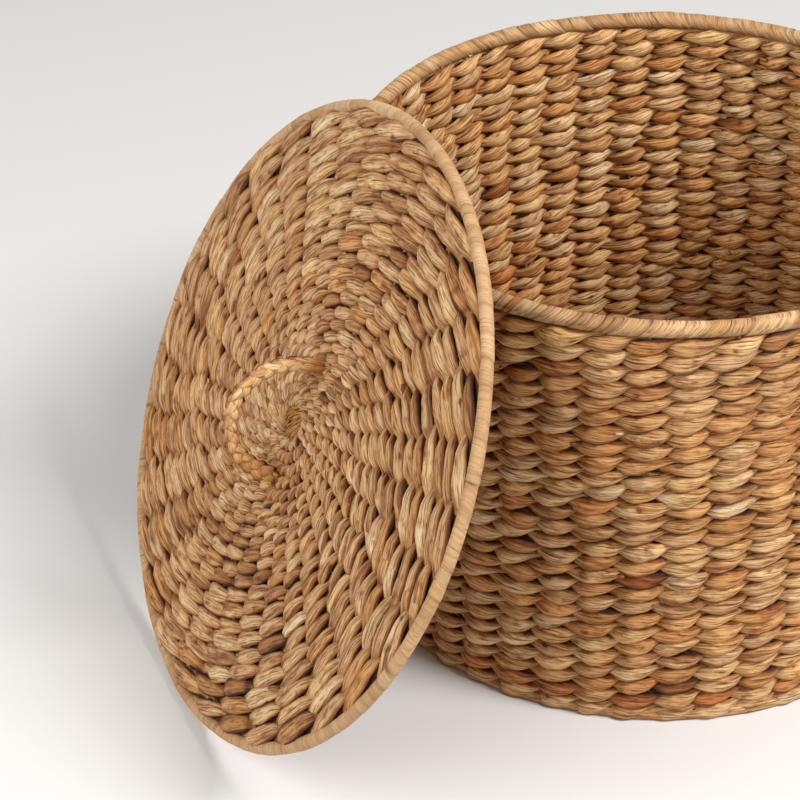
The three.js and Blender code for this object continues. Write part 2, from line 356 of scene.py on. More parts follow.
class Strand:
    """A strand's centreline, with its swell, stretch, turn, slant, tone, warmth and painted shade on its
    edges at each point.

    The lumps are how uneven it is along its length.
    """

    def __init__(
        self, points, swell, tall=1.0, turn=0.0, slant=0.0, tone=0.5, warmth=0.5, edge=0.0, lumps=0.0,
    ):
        def at_each_point(value):
            return np.broadcast_to(value, len(points)).astype(float)

        self.points = np.asarray(points, float)
        self.swell = at_each_point(swell)
        self.tall = at_each_point(tall)
        self.turn = at_each_point(turn)
        self.slant = at_each_point(slant)
        self.tone = at_each_point(tone)
        self.warmth = at_each_point(warmth)
        self.edge = at_each_point(edge)
        self.lumps = lumps

    def length(self, closed):
        """Length of the centreline."""
        ends = np.vstack([self.points, self.points[:1]]) if closed else self.points
        return np.linalg.norm(np.diff(ends, axis=0), axis=1).sum()

    def travel(self):
        """Direction of a closed strand at each point."""
        way = np.roll(self.points, -1, 0) - np.roll(self.points, 1, 0)
        return way / np.linalg.norm(way, axis=1)[:, None]


def strand_mesh(name, strands, section, closed):
    """Mesh of strands: a section drawn along each centreline, swelling and turning."""
    data = bpy.data.curves.new(name, "CURVE")
    data.dimensions = "3D"
    data.twist_mode = "Z_UP"
    data.bevel_mode = "OBJECT"
    data.bevel_object = section
    for strand in strands:
        spline = data.splines.new("POLY")
        count = len(strand.points)
        spline.points.add(count - 1)
        spline.points.foreach_set("co", np.hstack([strand.points, np.ones((count, 1))]).ravel())
        spline.points.foreach_set("radius", strand.swell)
        spline.points.foreach_set("tilt", strand.turn)
        spline.use_cyclic_u = closed
    curve = bpy.data.objects.new(name + "_line", data)
    bpy.context.scene.collection.objects.link(curve)
    graph = bpy.context.evaluated_depsgraph_get()
    mesh = bpy.data.meshes.new_from_object(curve.evaluated_get(graph))
    bpy.data.objects.remove(curve)
    bpy.data.curves.remove(data)
    return mesh


def vectors(items, field, size):
    """Vectors of a mesh's items, one to a row."""
    values = np.zeros(len(items) * size)
    items.foreach_get(field, values)
    return values.reshape(-1, size)


def shape_rings(strand, rings):
    """Stretch, lump and slant a strand's rings of corners, and give its girth and each corner's reach."""
    count, corners = rings.shape[:2]
    offsets = rings - strand.points[:, None]
    offsets[:, :, 2] *= strand.tall[:, None]
    girth = np.linalg.norm(np.roll(offsets, 1, 1) - offsets, axis=2).sum(1).mean()
    if strand.lumps > 0:
        offsets *= lengthwise_lumps(count, corners, strand.lumps)[:, :, None]
    if strand.slant.any():
        around = -np.sin(FULL_TURN * np.arange(corners) / corners)
        offsets += strand.travel()[:, None] * (strand.slant[:, None] * around)[:, :, None]
    rings[:] = strand.points[:, None] + offsets
    return girth, np.linalg.norm(offsets, axis=2)


def strand_piece(name, strands, section, finish, closed=True, place=None, lowest=None, bend=None):
    """One piece made of strands, with their tones, darkened by painted shade at the edges of their sections,
    and a map along their length.

    The strands may be bent, kept above a lowest height and then moved to their place.
    """
    mesh = strand_mesh(name, strands, section, closed)
    corners = len(section.data.splines[0].points)
    places = vectors(mesh.vertices, "co", 3)
    uv = vectors(mesh.uv_layers[0].data, "uv", 2)
    tones = np.zeros(len(places))
    warmths = np.zeros(len(places))
    first = 0
    first_loop = 0
    for strand in strands:
        count = len(strand.points)
        span = slice(first, first + count * corners)
        girth, reach = shape_rings(strand, places[span].reshape(count, corners, 3))
        # Painted shade: the tone darkens towards the outermost corners of each section, by the strand's edge
        # amount
        edge_shade_weight = np.clip(1 - (1 - reach / reach.max(1)[:, None]) / EDGE_SHADE_SHARE, 0, 1)
        tones[span] = (strand.tone[:, None] - strand.edge[:, None] * edge_shade_weight).ravel()
        warmths[span] = np.repeat(strand.warmth, corners)
        rows = count if closed else count - 1
        loops = slice(first_loop, first_loop + rows * corners * FACE_CORNERS)
        uv[loops] *= (strand.length(closed), girth)
        uv[loops] += chance.uniform(0, MAP_SHIFT, 2)
        first = span.stop
        first_loop = loops.stop
    if bend is not None:
        places = bend(places)
    if lowest is not None:
        places[:, 2] = np.maximum(places[:, 2], lowest)
    mesh.vertices.foreach_set("co", places.ravel())
    mesh.uv_layers[0].data.foreach_set("uv", uv.ravel())
    mesh.uv_layers[0].name = "strand"
    mesh.attributes.new("tone", "FLOAT", "POINT").data.foreach_set("value", tones)
    mesh.attributes.new("warmth", "FLOAT", "POINT").data.foreach_set("value", warmths)
    if not closed:
        close_ends(mesh)
    if place is not None:
        mesh.transform(place)
    mesh.shade_smooth()
    mesh.name = name
    mesh.materials.clear()
    mesh.materials.append(finish)
    piece = bpy.data.objects.new(name, mesh)
    bpy.context.scene.collection.objects.link(piece)
    return piece


def close_ends(mesh):
    """Close the open ends of strands."""
    shell = bmesh.new()
    shell.from_mesh(mesh)
    bmesh.ops.holes_fill(shell, edges=[edge for edge in shell.edges if edge.is_boundary], sides=0)
    shell.to_mesh(mesh)
    shell.free()


def lengthwise_lumps(count, corners, size):
    """Ridges and hollows that run along a strand and change slowly."""
    knots = max(FEWEST_CHANGES, count // (STITCH_RINGS * LUMP_STITCHES))
    values = chance.normal(1, size, (knots, corners))
    places = np.arange(count) * knots / count
    low = places.astype(int) % knots
    part = (places % 1)[:, None]
    return values[low] * (1 - part) + values[(low + 1) % knots] * part


def wander(count, size, step):
    """Smooth random wander round a loop, with a fresh value every few points."""
    knots = max(FEWEST_CHANGES, count // step)
    values = chance.normal(0, size, knots)
    return np.interp(np.arange(count) * knots / count, np.arange(knots + 1), np.append(values, values[0]))


def even_turn(count):
    """Angles evenly round a full turn."""
    return np.linspace(0, FULL_TURN, count, endpoint=False)


def ring_points(reach, angle, height):
    """Points round an upright axis, from their distance, angle and height."""
    return np.stack([reach * np.cos(angle), reach * np.sin(angle), np.broadcast_to(height, angle.shape)], 1)


def settle(piece, body, slot, *nodes):
    """Let a finished piece ride on its body and stand for the nodes it takes the place of."""
    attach(piece, body)
    if nodes:
        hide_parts(*nodes)


# Twined strands

# A twined strand goes over two stakes, in front of the first and behind the second
# along: places along it, in stake spacings
# rise and half: how high its middle lies there and half of its height, in widths of its course
# early and forward: how early it comes to the front, and how far it is held there
# dip and painted_light_back: painted shade, how much darker it is where it dips under, and painted light,
# how much paler it is at the back
# switch and every: where its shade changes and how often, in stake spacings
# tone, warmth and warmth_steps: its middle shades, and the change of warmth from stitch to stitch
WALL_TWINE = {
    "along": [-0.60, -0.50, -0.35, -0.15, 0.00, 0.20, 0.35, 0.50, 0.60, 0.70, 0.85, 1.00, 1.15, 1.30],
    "rise": [-0.18, -0.22, -0.19, -0.11, -0.03, 0.07, 0.17, 0.28, 0.31, 0.25, 0.10, 0.00, -0.08, -0.14],
    "half": [0.36, 0.33, 0.42, 0.55, 0.60, 0.54, 0.43, 0.29, 0.23, 0.34, 0.52, 0.60, 0.55, 0.46],
    "early": -0.05,
    "forward": 0.08,
    "dip_shade": 0.05,
    "painted_light_back": 0.10,
    "switch": 0.56,
    "every": 1,
    "tone": 0.60,
    "warmth": 0.65,
    "warmth_steps": 0.09,
}
FLAT_TWINE = {
    "along": [-0.75, -0.62, -0.50, -0.30, -0.10, 0.10, 0.30, 0.50, 0.62, 0.72, 0.85, 1.00, 1.12],
    "rise": [-0.40, -0.42, -0.38, -0.24, -0.08, 0.08, 0.24, 0.38, 0.42, 0.38, 0.20, 0.00, -0.20],
    "half": [0.32, 0.33, 0.42, 0.54, 0.58, 0.56, 0.47, 0.35, 0.31, 0.36, 0.50, 0.57, 0.50],
    "early": 0.10,
    "forward": 0.12,
    "dip_shade": 0.28,
    "painted_light_back": 0.0,
    "switch": 0.78,
    "every": 2,
    "tone": 0.59,
    "warmth": 0.46,
    "warmth_steps": 0.09,
}
# A strand's sway between front and back, over the distance at which it is stopped there
FRONT_REACH = 1.25
# Share of that sway, about the middle, where painted shade darkens the strand as it dips under
DIP_SHADE_SHARE = 0.4
# Unevenness of the stitches: along the course in stake spacings, outwards as a share, across the course in
# its widths, and in height as a share
STRAY_ALONG = 0.11
STRAY_OUT = 0.12
STRAY_ACROSS = 0.05
STRAY_HEIGHT = 0.09
# Shades of the stitches: the slow change along a strand, the tone's change from stitch to stitch, the share
# of odd stitches and how much these differ
TONE_SLOW = 0.13
TONE_STEPS = 0.07
ODD_TONE_SHARE = 0.05
ODD_TONES = [-0.20, -0.14, 0.18]
WARMTH_SLOW = 0.11
ODD_WARMTH_SHARE = 0.04
ODD_WARMTHS = [-0.26, 0.12, 0.18]
# Stitches from one slow change to the next, stake spacings in which one shade passes into the next, and the
# least shade
SLOW_STITCHES = 5
SHADE_PASSAGE = 0.2
LEAST_SHADE = 0.15


def stitch_shades(along, twine, middle, slow, quick, odd_share, jumps):
    """Shade of each point: the strand's slow change, a step at each stitch and a few odd stitches."""
    turns = (along - twine["switch"]) / twine["every"]
    stitch = np.floor(turns).astype(int)
    stitches = int(stitch.max() - stitch.min()) + 1
    steps = chance.normal(0, quick, stitches)
    odd = chance.random(stitches) < odd_share
    steps[odd] += chance.choice(jumps, odd.sum())
    part = np.clip((turns - stitch) * twine["every"] / SHADE_PASSAGE, 0, 1)
    step = steps[stitch % stitches] * part + steps[(stitch - 1) % stitches] * (1 - part)
    return np.clip(middle + wander(len(along), slow, STITCH_RINGS * SLOW_STITCHES) + step, LEAST_SHADE, 1)


def twined_pair(stitches, pitch, out, twine):
    """Two strands that change places between front and back from stake to stake, round a ring.

    Gives for each strand how far it goes round, stands out of the middle and climbs across the
    course, with half its height, how far it is at the front, how far it is on its way to the back, its
    fullness, its tone, with painted shade where it dips under and painted light at the back, and its warmth.
    """
    count = stitches * STITCH_RINGS
    step = np.arange(count)
    pair = []
    stray = wander(count, STRAY_ALONG, STITCH_RINGS)
    for strand in range(2):
        along = step / STITCH_RINGS + strand + stray
        sway = np.cos(math.pi * (along + twine["early"]))
        front = np.clip(FRONT_REACH * sway + twine["forward"], -1, 1)
        stand = out * front + wander(count, out * STRAY_OUT, STITCH_RINGS)
        climb = np.interp(along, twine["along"], twine["rise"], period=2)
        climb += wander(count, STRAY_ACROSS, STITCH_RINGS)
        half = np.interp(along, twine["along"], twine["half"], period=2)
        full = half / max(twine["half"])
        half *= 1 + wander(count, STRAY_HEIGHT, STITCH_RINGS)
        tone = stitch_shades(along, twine, twine["tone"], TONE_SLOW, TONE_STEPS, ODD_TONE_SHARE, ODD_TONES)
        warmth = stitch_shades(
            along, twine, twine["warmth"], WARMTH_SLOW, twine["warmth_steps"], ODD_WARMTH_SHARE, ODD_WARMTHS,
        )
        # Painted shade where the strand dips under the other one
        tone = tone - twine["dip_shade"] * np.clip(1 - np.abs(sway) / DIP_SHADE_SHARE, 0, 1)
        # Painted light: paler where the strand lies at the back, which for the wall is its inside face
        tone = tone + twine["painted_light_back"] * np.clip(-front, 0, 1)
        swing = np.sin(math.pi * along)
        pair.append((step / count, stand, climb * pitch, half * pitch, front, swing, full, tone, warmth))
    return pair


# The dark strand in the groove below a course, painted shade in the chinks between stitches: how far below
# its middle and half of its height, in widths of the course, half of its thickness, its points from stake to
# stake, its tone, and the share and size of its thin spots
GROOVE_DROP = 0.15
GROOVE_HALF = 0.42
GROOVE_THICK = 0.0011
GROOVE_RINGS = 4
GROOVE_SHADE_TONE = 0.0
CHINK_SHARE = 0.02
CHINK_SIZE = 0.35


def shade_filler_strand(radius, height, swell, tall):
    """Flat dark strand inside the weave, painted shade that closes most of the chinks between stitches."""
    count = STAKES * GROOVE_RINGS
    points = ring_points(radius, even_turn(count), height)
    chink = np.where(chance.random(count) < CHINK_SHARE, CHINK_SIZE, 1.0)
    return Strand(points, swell * chink, tall, tone=GROOVE_SHADE_TONE)


# Wall of the basket

COURSE_PITCH = WALL_TOP / COURSES
WALL_BANDS = 4
# A strand of the wall: how far it stands out, half of its thickness and the share left where it is thinnest,
# its lean at the front and on its way to the back, its lumps, and the painted shade on its edges and how
# much more of it there is outside
STRAND_OUT = 0.0042
STRAND_THICK = 0.0042
STRAND_THINNEST = 0.30
COURSE_LEAN = 0.20
SWING_LEAN = 0.45
STRAND_LUMPS = 0.06
COURSE_EDGE_SHADE = 0.34
COURSE_EDGE_SHADE_OUTSIDE = 0.5
# The strands along the foot: their middle from the wall's middle and how uneven it is, half of their
# thickness and of their height, and their shades
FOOT_OUT = 0.0038
FOOT_STRAY = 0.0003
FOOT_THICK = 0.0036
FOOT_HEIGHT = 0.0040
FOOT_TONE = 0.42
FOOT_TONE_STRAY = 0.15
FOOT_WARMTH = 0.45


def wall_course(index):
    """The two strands of one course of the wall, and the dark strand of painted shade in its groove."""
    middle = index + 0.5
    strands = []
    for way, stand, climb, half, front, swing, full, tone, warmth in twined_pair(
        STAKES, COURSE_PITCH, STRAND_OUT, WALL_TWINE
    ):
        points = ring_points(RIM_RADIUS + stand, FULL_TURN * way, middle * COURSE_PITCH + climb)
        thick = STRAND_THICK * (STRAND_THINNEST + (1 - STRAND_THINNEST) * full)
        turn = SWING_LEAN * swing - COURSE_LEAN * front
        # Painted shade on the strand's edges, stronger where it lies outside
        edge = COURSE_EDGE_SHADE * (1 + COURSE_EDGE_SHADE_OUTSIDE * front)
        strands.append(Strand(
            points, thick, half / thick / TALL, turn, tone=tone, warmth=warmth, edge=edge,
            lumps=STRAND_LUMPS,
        ))
    height = (middle - GROOVE_DROP) * COURSE_PITCH
    tall = GROOVE_HALF * COURSE_PITCH / GROOVE_THICK / TALL
    strands.append(shade_filler_strand(RIM_RADIUS, height, GROOVE_THICK, tall))
    return strands


def foot_strand(side):
    """Strand that runs along the foot of the wall and closes its lower edge."""
    count = STAKES * STITCH_RINGS
    reach = RIM_RADIUS + side * FOOT_OUT + wander(count, FOOT_STRAY, STITCH_RINGS)
    points = ring_points(reach, even_turn(count), FOOT_HEIGHT)
    tone = FOOT_TONE + wander(count, FOOT_TONE_STRAY, STITCH_RINGS)
    tall = FOOT_HEIGHT / FOOT_THICK / TALL
    return Strand(points, FOOT_THICK, tall, tone=tone, warmth=FOOT_WARMTH, lumps=STRAND_LUMPS)


for band in range(WALL_BANDS):
    courses = range(band * COURSES // WALL_BANDS, (band + 1) * COURSES // WALL_BANDS)
    strands = [strand for index in courses for strand in wall_course(index)]
    if band == 0:
        strands += [foot_strand(side) for side in (1, -1)]
    piece = strand_piece(f"wall_courses_{band + 1}", strands, tall_section, weave_finish, lowest=FLOOR_CLEAR)
    settle(piece, "basket", "weave", "wall_weave_outer", "wall_weave_inner")


# Rounds of the lid and of the base

ROUND_BANDS = 3
EYE_EDGE = 0.0140
# How far the last round of the lid goes under the binding, and of the base stays inside the wall's middle
LID_TUCK = 0.0036
BASE_INSET = 0.007
# Distance from the centre, for each spoke, from which all of the spokes are woven in and not only half
SPOKE_ROOM = 0.0006
# A strand of a round: how far it stands out and half of its thickness, in halves of the layer, the share
# of the thickness left where it is thinnest, its lean at the front and on its way to the back, and the
# painted shade on its edges
ROUND_OUT = 0.58
ROUND_THICK = 0.50
ROUND_THINNEST = 0.45
ROUND_LEAN = 0.20
ROUND_SWING = 0.20
ROUND_EDGE_SHADE = 0.46


def round_edges(first, last):
    """Edges of the rounds from the centre outwards, each a little wider than the one inside it."""
    growth = 2 * (last - first - LID_ROUNDS * INNER_ROUND) / (LID_ROUNDS * (LID_ROUNDS - 1))
    widths = INNER_ROUND + growth * np.arange(LID_ROUNDS)
    return first + np.concatenate([[0], np.cumsum(widths)])


def flat_round(inside, outside, half_layer, spokes):
    """The two strands of one round of flat weave, lying at height zero, and the dark strand of painted shade
    inside it.
    """
    radius = (inside + outside) / 2
    pitch = outside - inside
    stitches = spokes if inside > SPOKE_ROOM * spokes else spokes // 2
    strands = []
    for way, stand, climb, half, front, swing, full, tone, warmth in twined_pair(
        stitches, pitch, half_layer * ROUND_OUT, FLAT_TWINE
    ):
        points = ring_points(radius + climb, -FULL_TURN * way, stand)
        thick = half_layer * ROUND_THICK * (ROUND_THINNEST + (1 - ROUND_THINNEST) * full)
        turn = ROUND_LEAN * front - ROUND_SWING * swing
        # The strand's edges carry painted shade
        strands.append(Strand(
            points, half, thick / half * TALL, turn, tone=tone, warmth=warmth, edge=ROUND_EDGE_SHADE,
            lumps=STRAND_LUMPS,
        ))
    half = GROOVE_HALF * pitch
    strands.append(shade_filler_strand(radius, 0, half, GROOVE_THICK / half * TALL))
    return strands


def weave_rounds(name, body, half_layer, spokes, last, place, lowest, nodes):
    """Flat weave of the lid or the base, in bands of rounds. The base has as many rounds as the lid."""
    edges = round_edges(EYE_EDGE, last)
    for band in range(ROUND_BANDS):
        rounds = range(band * LID_ROUNDS // ROUND_BANDS, (band + 1) * LID_ROUNDS // ROUND_BANDS)
        strands = [s for i in rounds for s in flat_round(edges[i], edges[i + 1], half_layer, spokes)]
        piece = strand_piece(
            f"{name}_rounds_{band + 1}", strands, wide_section, weave_finish, place=place, lowest=lowest,
        )
        settle(piece, body, "weave", *nodes)


weave_rounds(
    "lid", "lid", LID_TOP, LID_SPOKES, LID_RADIUS - LID_BINDING / 2 + LID_TUCK, LID_PLACE, None,
    ("lid_weave_top", "lid_weave_under"),
)
weave_rounds(
    "base", "basket", BASE_MIDDLE, STAKES, RIM_RADIUS - BASE_INSET, Matrix.Translation((0, 0, BASE_MIDDLE)),
    FLOOR_CLEAR - BASE_MIDDLE, ("base_weave_lower", "base_weave_upper"),
)


# Strips wound round the rim and round the edge of the lid

# Width of a strip in mean widths: the least, and how much more on average
STRIP_LEAST = 0.3
STRIP_MORE = 0.7
# Places across a strip with its height there in steps, and the place beyond which painted shade darkens it,
# where it goes under the next strip
STRIP_PROFILE = ((0.0, 1.0), (0.12, 1.1), (0.45, 0.6), (0.80, 0.0), (0.97, -0.9))
STRIP_SHADE_FROM = 0.9
# Changes of shade that go with a step: from strip to strip, for an odd warm strip and for the painted shade
# at the edge under the next strip
STRIP_SHADES = 2.6
STRIP_ODD_WARMTH = 10
STRIP_EDGE_SHADE = 7
ODD_STRIP_SHARE = 0.05
# Unevenness of the strips: in fullness, in slant as a share of it, and of the whole ring, every few places
STRIP_FULL_STRAY = 0.03
STRIP_SLANT_STRAY = 0.25
RING_STRAY = 0.0003
RING_STRAY_PLACES = 20
# How much thicker the strips of the rim are than its solid binding, how much thinner those of the lid's edge
# are, and how much farther out these lie
RIM_STRIPS_MORE = 0.0006
LID_STRIPS_LESS = 0.002
LID_STRIPS_OUT = 0.001


def wound_edge(radius, height, thickness, strip_width, step, slant, tone, warmth):
    """Strips wound side by side round a ring, each edge lying over the strip before it, with painted shade
    on the edge that lies beneath the next.
    """
    places = []
    swells = []
    slants = []
    tones = []
    warmths = []
    reach = 0.0
    while reach < FULL_TURN * radius:
        width = strip_width * (STRIP_LEAST + chance.exponential(STRIP_MORE))
        shade = np.clip(chance.normal(tone, STRIP_SHADES * step), 0, 1)
        heat = chance.normal(warmth, STRIP_SHADES * step)
        if chance.random() < ODD_STRIP_SHARE:
            heat += STRIP_ODD_WARMTH * step
        full = chance.normal(1, STRIP_FULL_STRAY)
        lean = chance.normal(slant, slant * STRIP_SLANT_STRAY)
        for part, lift in STRIP_PROFILE:
            places.append(reach + part * width)
            swells.append(full + lift * step)
            slants.append(lean)
            # Painted shade on the end of the strip, which goes under the next one
            tones.append(shade - (STRIP_EDGE_SHADE * step if part > STRIP_SHADE_FROM else 0))
            warmths.append(np.clip(heat, 0, 1))
        reach += width
    angle = FULL_TURN * np.array(places) / reach
    count = len(angle)
    from_axis = radius + wander(count, RING_STRAY, RING_STRAY_PLACES)
    points = ring_points(from_axis, angle, height + wander(count, RING_STRAY, RING_STRAY_PLACES))
    return Strand(points, np.array(swells) * thickness / 2, slant=slants, tone=tones, warmth=warmths)


strips = wound_edge(
    RIM_RADIUS, RIM_HEIGHT, RIM_BINDING + RIM_STRIPS_MORE,
    strip_width=0.015, step=0.040, slant=0.0050, tone=0.47, warmth=0.47,
)
piece = strand_piece("rim_strips", [strips], round_section, rim_finish)
settle(piece, "basket", "binding", "rim_binding")
strips = wound_edge(
    LID_RADIUS + LID_STRIPS_OUT, 0, LID_BINDING - LID_STRIPS_LESS,
    strip_width=0.020, step=0.018, slant=0.0016, tone=0.44, warmth=0.36,
)
piece = strand_piece("lid_strips", [strips], round_section, lid_edge_finish, place=LID_PLACE)
settle(piece, "lid", "binding", "lid_binding")


# Plaited handle

# The handle's arch: its points, the step between those of the plait, and how deep its ends go
ARCH_POINTS = 400
PLAIT_STEP = 0.0012
END_DEPTH = 0.0075
# A strand of the plait: the length of its wave, how far it goes to the side and over the others, half of its
# width and of its thickness, how its width changes, its lumps and the painted shade on its edges
PLAIT_STRANDS = 3
PLAIT_WAVE = 0.034
PLAIT_SIDE = 0.0026
PLAIT_OVER = 0.0024
RIBBON_WIDE = 0.0036
RIBBON_THICK = 0.0017
RIBBON_SWELL = 0.12
RIBBON_LUMPS = 0.05
RIBBON_EDGE_SHADE = 0.45
# Gathered upper end: its length, and the share of the plait's spread that is left at its tip
GATHER_LENGTH = 0.022
GATHER_LEAST = 0.2
# Wide lower end: how much wider, and where along the plait it begins and in what share it is reached
SPREAD_MORE = 0.35
SPREAD_FROM = 0.72
SPREAD_SHARE = 0.2
# Ends that sink into the lid: the length in which they narrow, and the least share of it that is counted
SINK_LENGTH = 0.010
SINK_LEAST = 0.15
# Tone of the plait: at the upper end, its loss down to the lower end, the loss in the last share of the way,
# the painted shade under a crossing strand with how sharp and how late that begins, and its wander, every
# few points
PLAIT_TONE = 0.82
PLAIT_TONE_LOSS = 0.36
PLAIT_END_LOSS = 0.10
PLAIT_END_SHARE = 0.18
CROSSING_SHADE = 0.42
CROSSING_SHARP = 2.2
CROSSING_LATE = 0.2
PLAIT_TONE_STRAY = 0.10
PLAIT_TONE_POINTS = 9
# Warmth of the plait: at the upper end, its gain down to the lower end, and its wander, every few points
PLAIT_WARMTH = 0.47
PLAIT_WARMTH_GAIN = 0.26
PLAIT_WARMTH_STRAY = 0.06
PLAIT_WARMTH_POINTS = 20


def handle_arch():
    """Length along the handle's arch, its place up and out, and the direction across it, at each step."""
    turn = np.linspace(0, math.pi, ARCH_POINTS)
    up = HANDLE_UP + HANDLE_SPAN / 2 * np.cos(turn) + HANDLE_SWEEP * np.sin(turn)
    out = HANDLE_PIVOT + HANDLE_RISE * np.sin(turn)
    up = np.concatenate([[up[0]], up, [up[-1]]])
    out = np.concatenate([[HANDLE_PIVOT - END_DEPTH], out, [HANDLE_PIVOT - END_DEPTH]])
    run = np.concatenate([[0], np.cumsum(np.hypot(np.diff(up), np.diff(out)))])
    steps = np.linspace(0, run[-1], int(run[-1] / PLAIT_STEP))
    up = np.interp(steps, run, up)
    out = np.interp(steps, run, out)
    slope = np.stack([np.gradient(up), np.gradient(out)], 1)
    slope /= np.linalg.norm(slope, axis=1)[:, None]
    return steps, up, out, -slope[:, 1], slope[:, 0]


ARCH = handle_arch()


def along_handle(places):
    """Bend a plait that lies straight along X into the handle's arch."""
    up, out, across_up, across_out = (np.interp(places[:, 0], ARCH[0], values) for values in ARCH[1:])
    side = places[:, 1]
    return np.stack([HANDLE_ACROSS + places[:, 2], up + across_up * side, out + across_out * side], 1)


def plait_strands():
    """Flat strands plaited together, gathered at the upper end and wide at the lower end."""
    steps = ARCH[0]
    count = len(steps)
    way = steps / steps[-1]
    gather = np.clip(steps / GATHER_LENGTH, GATHER_LEAST, 1)
    spread = 1 + SPREAD_MORE * np.clip((way - SPREAD_FROM) / SPREAD_SHARE, 0, 1)
    sunk = np.sqrt(np.clip(np.minimum(steps, steps[-1] - steps) / SINK_LENGTH, SINK_LEAST, 1))
    late = np.clip((way - (1 - PLAIT_END_SHARE)) / PLAIT_END_SHARE, 0, 1)
    strands = []
    for k in range(PLAIT_STRANDS):
        phase = FULL_TURN * (steps / PLAIT_WAVE + k / PLAIT_STRANDS)
        side = PLAIT_SIDE * gather * spread * sunk * np.sin(phase)
        over = PLAIT_OVER * gather * np.sin(2 * phase)
        points = np.stack([steps, side, over], 1)
        wide = RIBBON_WIDE * spread * sunk * (1 + RIBBON_SWELL * np.cos(2 * phase))
        tone = PLAIT_TONE - PLAIT_TONE_LOSS * way - PLAIT_END_LOSS * late
        tone += wander(count, PLAIT_TONE_STRAY, PLAIT_TONE_POINTS)
        # Painted shade where the strand passes under a crossing strand
        tone -= CROSSING_SHADE * np.clip(-CROSSING_SHARP * np.sin(2 * phase) - CROSSING_LATE, 0, 1)
        warmth = PLAIT_WARMTH + PLAIT_WARMTH_GAIN * way
        warmth += wander(count, PLAIT_WARMTH_STRAY, PLAIT_WARMTH_POINTS)
        # The ribbon's edges carry painted shade
        strands.append(Strand(
            points, wide, RIBBON_THICK / wide, tone=tone, warmth=np.clip(warmth, 0, 1), edge=RIBBON_EDGE_SHADE,
            lumps=RIBBON_LUMPS,
        ))
    return strands


# The smooth strand over the plait's upper end: its length and points, how far it lies off the plait's
# middle, half of its width and its height over that, where its rounded outline begins and how much of it
# is used, its shades at the tip, with the tone darkened there as painted shade where it sinks into the lid,
# and their change, and its lumps
SMOOTH_LENGTH = 0.026
SMOOTH_POINTS = 14
SMOOTH_LIFT = 0.0004
SMOOTH_WIDE = 0.0058
SMOOTH_TALL = 0.75
SMOOTH_FROM = 0.02
SMOOTH_SHARE = 0.88
SMOOTH_SHADED_TIP_TONE = 0.16
SMOOTH_TONE_GAIN = 0.50
SMOOTH_WARMTH = 0.85
SMOOTH_WARMTH_LOSS = 0.3
SMOOTH_LUMPS = 0.03


def smooth_end():
    """Smooth thick strand laid over the upper end of the plait, with painted shade at the tip that sinks
    into the lid.
    """
    steps = np.linspace(0, SMOOTH_LENGTH, SMOOTH_POINTS)
    way = steps / steps[-1]
    points = np.stack([steps, np.zeros(SMOOTH_POINTS), np.full(SMOOTH_POINTS, SMOOTH_LIFT)], 1)
    wide = SMOOTH_WIDE * np.sqrt(np.sin(math.pi * (SMOOTH_FROM + SMOOTH_SHARE * way)))
    # Painted shade: darkest at the tip, where the strand sinks into the lid, and paler along it
    tone = SMOOTH_SHADED_TIP_TONE + SMOOTH_TONE_GAIN * way
    warmth = SMOOTH_WARMTH - SMOOTH_WARMTH_LOSS * way
    return Strand(points, wide, SMOOTH_TALL, tone=tone, warmth=warmth, lumps=SMOOTH_LUMPS)


piece = strand_piece(
    "handle_plait", plait_strands() + [smooth_end()], round_section, plait_finish, closed=False,
    place=LID_PLACE, bend=along_handle,
)
settle(piece, "handle", "plait", "handle_loop")


# Knots of the handle's ends, under the lid

# A knot: its size, half of its strand's thickness, its points, its middle below the lid and how far it goes
# up and down from there, its shades with the tone's wander, every few points, and its lumps
KNOT_REACH = 0.0023
KNOT_STRAND = 0.0020
KNOT_POINTS = 60
KNOT_DROP = 0.0043
KNOT_DEPTH = 0.0021
KNOT_TONE = 0.4
KNOT_TONE_STRAY = 0.1
KNOT_TONE_POINTS = 8
KNOT_WARMTH = 0.7
KNOT_LUMPS = 0.05


def end_knot(up):
    """Strand tied in a knot against the underside of the lid."""
    turn = even_turn(KNOT_POINTS)
    across = HANDLE_ACROSS + KNOT_REACH * (np.sin(turn) + 2 * np.sin(2 * turn))
    along = up + KNOT_REACH * (np.cos(turn) - 2 * np.cos(2 * turn))
    depth = -LID_TOP - KNOT_DROP - KNOT_DEPTH * np.sin(3 * turn)
    points = np.stack([across, along, depth], 1)
    tone = KNOT_TONE + wander(KNOT_POINTS, KNOT_TONE_STRAY, KNOT_TONE_POINTS)
    return Strand(points, KNOT_STRAND, tone=tone, warmth=KNOT_WARMTH, lumps=KNOT_LUMPS)


for name, side in (("upper", 1), ("lower", -1)):
    knot = end_knot(HANDLE_UP + side * HANDLE_SPAN / 2)
    piece = strand_piece(f"handle_end_{name}", [knot], round_section, plait_finish, place=LID_PLACE)
    settle(piece, "lid", "plait", f"handle_knot_{name}")


# Straw tufts at the centres

# A tuft: its straws, their points and the way they lie, with how much each one differs, and the area it
# covers over that of the hole
TUFT_STRAWS = 80
STRAW_POINTS = 9
TUFT_TURN = math.radians(65)
STRAW_TURN_STRAY = 0.20
STRAW_TUCK = 1.15
# From the least to the most: a straw's length and its rise as shares, half of its thickness, and its shades
STRAW_LENGTHS = (0.75, 1.25)
STRAW_RISES = (0.5, 1.1)
STRAW_THICK = (0.0004, 0.0007)
STRAW_TONE_RANGE = (0.1, 0.9)
STRAW_WARMTH_RANGE = (0.4, 0.6)
# Height of each tuft's ends above the middle of its layer, and of its crown above them
TUFT_HEIGHT = 0.001
LID_TUFT_CROWN = 0.0055
BASE_TUFT_CROWN = 0.005


